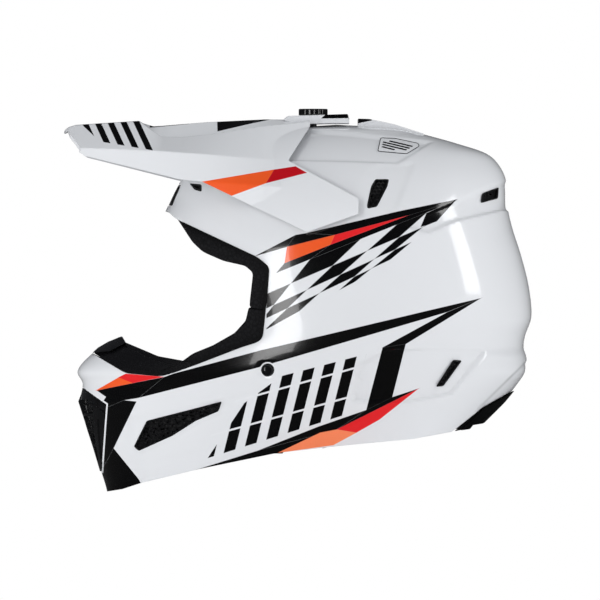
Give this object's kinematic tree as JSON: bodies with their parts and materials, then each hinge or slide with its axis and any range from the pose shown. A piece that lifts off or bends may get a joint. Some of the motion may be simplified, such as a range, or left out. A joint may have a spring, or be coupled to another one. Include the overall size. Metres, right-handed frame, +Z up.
{
  "type": "motocross helmet",
  "caption": "Full-face off-road helmet with a wide eye port, a long tilting visor, a vented chin bar, foam and fabric liners and a double D-ring chin strap.",
  "frame": {"origin": "centre of the bounding box, on the table the helmet stands on", "axes": "+X is rearwards (the wearer faces -X), +Y is the wearer's right, +Z is up from the table. The helmet stands on its chin and its rear edge, which tips the worn attitude back by 10 degrees about Y."},
  "size_m": [0.378, 0.248, 0.3024],
  "materials": {
    "shell_white": "clear-coated gloss",
    "visor_white": "gloss",
    "gloss_black": "gloss",
    "mesh_black": "satin mesh",
    "foam_black": "moulded foam bead",
    "fabric_black": "knitted mesh",
    "rubber_black": "matt",
    "webbing_black": "woven",
    "webbing_red": "woven",
    "steel": "zinc-plated"
  },
  "bodies": {
    "helmet": {"outer_shell": "shell_white", "crown_impact_liner": "foam_black", "chin_impact_liner": "foam_black", "comfort_liner": "fabric_black", "brow_pad": "fabric_black", "neck_roll": "fabric_black", "eyeport_gasket": "rubber_black", "nose_guard": "rubber_black", "rear_edge_trim": "rubber_black", "mouth_vent_frame": "gloss_black", "mouth_vent_grille": "mesh_black", "forehead_vent_mesh": "mesh_black", "temple_vent_mesh_left": "mesh_black", "temple_vent_mesh_right": "mesh_black", "rear_vent_mesh_left": "mesh_black", "rear_vent_mesh_right": "mesh_black", "lower_vent_mesh_left": "mesh_black", "lower_vent_mesh_right": "mesh_black", "chin_side_mesh_left": "mesh_black", "chin_side_mesh_right": "mesh_black", "brow_vent_mesh_left": "mesh_black", "brow_vent_mesh_right": "mesh_black", "crown_louvre_left": "shell_white", "crown_louvre_right": "shell_white", "strap_anchor_bolt_left": "gloss_black", "strap_anchor_bolt_right": "gloss_black", "visor_peg_left": "gloss_black", "visor_peg_right": "gloss_black", "visor_nut": "steel"},
    "visor": {"visor": "visor_white"},
    "visor_screw": {"visor_screw": "gloss_black"},
    "dust_filter": {"dust_filter": "foam_black"},
    "cheek_pad_left": {"cheek_pad_left": "fabric_black", "cheek_pad_core_left": "foam_black", "cheek_pad_pull_tab_left": "webbing_red"},
    "cheek_pad_right": {"cheek_pad_right": "fabric_black", "cheek_pad_core_right": "foam_black", "cheek_pad_pull_tab_right": "webbing_red"},
    "left_strap": {"strap_anchor_plate_left": "steel", "chin_strap_left": "webbing_black", "strap_sleeve_left": "fabric_black"},
    "right_strap": {"strap_anchor_plate_right": "steel", "chin_strap_right": "webbing_black", "strap_sleeve_right": "fabric_black", "strap_snap": "steel"},
    "d_ring_upper": {"d_ring_upper": "steel"},
    "d_ring_lower": {"d_ring_lower": "steel"}
  },
  "joints": [
    {"name": "visor_tilt", "type": "hinge", "parent": "helmet", "child": "visor", "pos_m": [0.02825, 0, 0.20002], "axis": [0, 1, 0], "range_deg": [-6, 4]},
    {"name": "visor_screw_turn", "type": "hinge", "parent": "helmet", "child": "visor_screw", "pos_m": [0.03948, 0, 0.27521], "axis": [0.1736, 0, 0.9848], "continuous": true},
    {"name": "dust_filter_slide", "type": "slide", "parent": "helmet", "child": "dust_filter", "axis": [0.9848, 0, -0.1736], "range_m": [0, 0.015]},
    {"name": "cheek_pad_left_release", "type": "slide", "parent": "helmet", "child": "cheek_pad_left", "axis": [0, 1, 0], "range_m": [0, 0.012]},
    {"name": "cheek_pad_right_release", "type": "slide", "parent": "helmet", "child": "cheek_pad_right", "axis": [0, -1, 0], "range_m": [0, 0.012]},
    {"name": "left_strap_swing", "type": "hinge", "parent": "helmet", "child": "left_strap", "pos_m": [-0.03325, -0.097, 0.07581], "axis": [0, 1, 0], "range_deg": [-10, 10]},
    {"name": "right_strap_swing", "type": "hinge", "parent": "helmet", "child": "right_strap", "pos_m": [-0.03325, 0.097, 0.07581], "axis": [0, 1, 0], "range_deg": [-10, 10]},
    {"name": "d_ring_upper_swing", "type": "hinge", "parent": "left_strap", "child": "d_ring_upper", "pos_m": [-0.04351, -0.032, 0.01761], "axis": [0.9848, 0, -0.1736], "range_deg": [0, 60]},
    {"name": "d_ring_lower_swing", "type": "hinge", "parent": "left_strap", "child": "d_ring_lower", "pos_m": [-0.04435, -0.032, 0.01288], "axis": [0.9848, 0, -0.1736], "range_deg": [-20, 0]}
  ]
}
